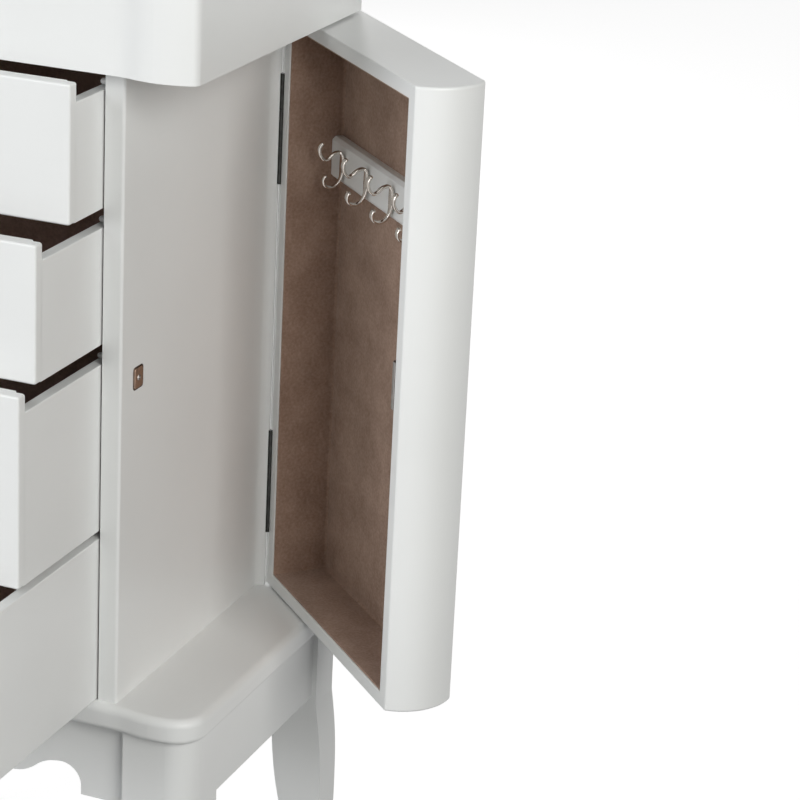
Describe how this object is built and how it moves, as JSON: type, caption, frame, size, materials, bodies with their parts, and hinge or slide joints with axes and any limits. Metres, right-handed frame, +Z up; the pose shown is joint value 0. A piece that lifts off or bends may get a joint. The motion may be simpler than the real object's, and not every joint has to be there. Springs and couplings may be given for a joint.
{
  "type": "jewelry mirror cabinet",
  "caption": "Free-standing white jewelry cabinet on curved legs: drawers in the middle, a necklace door with hooks on each side, and a lidded tray with a mirror on top.",
  "frame": {"origin": "bottom centre of the bounding box at rest, on the floor", "axes": "+Z up, front faces -Y, +X to the right seen from the front"},
  "size_m": [0.818, 0.5995, 1.3093],
  "materials": {
    "white_lacquer": "satin white lacquer",
    "dark_cloth": "short black-brown nap",
    "suede_cloth": "mauve-brown suede cloth",
    "mirror": "bevelled silvered glass",
    "nickel": "polished nickel plate",
    "bronzed_plate": "bronzed steel strike plate",
    "white_nylon": "moulded pin",
    "catch_plastic": "moulded catch body"
  },
  "bodies": {
    "cabinet": {"leg_front_right": "white_lacquer", "leg_front_left": "white_lacquer", "leg_rear_right": "white_lacquer", "leg_rear_left": "white_lacquer", "base_board": "white_lacquer", "apron_front": "white_lacquer", "aprons_plain": "white_lacquer", "stile_right": "white_lacquer", "stile_left": "white_lacquer", "side_panel_right": "white_lacquer", "side_panel_left": "white_lacquer", "back_panel": "white_lacquer", "drawer_runners": "white_lacquer", "kicker_pins": "white_nylon", "case_front": "white_lacquer", "case_sides": "white_lacquer", "case_back": "white_lacquer", "case_deck": "white_lacquer", "tray_cloth": "suede_cloth", "tray_dividers": "white_lacquer", "ring_rolls": "suede_cloth", "strike_plates": "bronzed_plate", "door_hinge_fixed": "nickel", "lid_hinge_fixed": "nickel"},
    "door_right": {"door_right_end": "white_lacquer", "door_right_frame": "white_lacquer", "door_right_panel": "white_lacquer", "door_right_lining": "suede_cloth", "door_right_hook_rail": "white_lacquer", "door_right_hooks": "nickel", "door_right_catch": "catch_plastic", "door_right_hinge_leaves": "nickel"},
    "door_left": {"door_left_end": "white_lacquer", "door_left_frame": "white_lacquer", "door_left_panel": "white_lacquer", "door_left_lining": "suede_cloth", "door_left_hook_rail": "white_lacquer", "door_left_hooks": "nickel", "door_left_catch": "catch_plastic", "door_left_hinge_leaves": "nickel"},
    "lid": {"lid_hinge_leaves": "nickel", "lid_frame": "white_lacquer", "lid_panel": "white_lacquer", "lid_mirror": "mirror"},
    "drawer_1": {"drawer_1_front": "white_lacquer", "drawer_1_box": "white_lacquer", "drawer_1_lining": "dark_cloth", "drawer_1_knob": "nickel"},
    "drawer_2": {"drawer_2_front": "white_lacquer", "drawer_2_box": "white_lacquer", "drawer_2_lining": "dark_cloth", "drawer_2_knob": "nickel"},
    "drawer_3": {"drawer_3_front": "white_lacquer", "drawer_3_box": "white_lacquer", "drawer_3_lining": "dark_cloth", "drawer_3_knob": "nickel"},
    "drawer_4": {"drawer_4_front": "white_lacquer", "drawer_4_box": "white_lacquer", "drawer_4_lining": "dark_cloth", "drawer_4_knob": "nickel"}
  },
  "joints": [
    {"name": "lid_hinge", "type": "hinge", "parent": "cabinet", "child": "lid", "pos_m": [0, 0.21801, 0.977], "axis": [1, 0, 0], "range_deg": [0, 100]},
    {"name": "door_right_hinge", "type": "hinge", "parent": "cabinet", "child": "door_right", "pos_m": [0.1698, 0.19134, 0.618], "axis": [0, 0, 1], "range_deg": [-46.48, 65]},
    {"name": "door_left_hinge", "type": "hinge", "parent": "cabinet", "child": "door_left", "pos_m": [-0.1698, 0.19134, 0.618], "axis": [0, 0, -1], "range_deg": [-46.48, 65]},
    {"name": "drawer_1_slide", "type": "slide", "parent": "cabinet", "child": "drawer_1", "axis": [0, -1, 0], "range_m": [-0.055, 0.145]},
    {"name": "drawer_2_slide", "type": "slide", "parent": "cabinet", "child": "drawer_2", "axis": [0, -1, 0], "range_m": [-0.108, 0.092]},
    {"name": "drawer_3_slide", "type": "slide", "parent": "cabinet", "child": "drawer_3", "axis": [0, -1, 0], "range_m": [-0.134, 0.066]},
    {"name": "drawer_4_slide", "type": "slide", "parent": "cabinet", "child": "drawer_4", "axis": [0, -1, 0], "range_m": [-0.185, 0.015]}
  ]
}
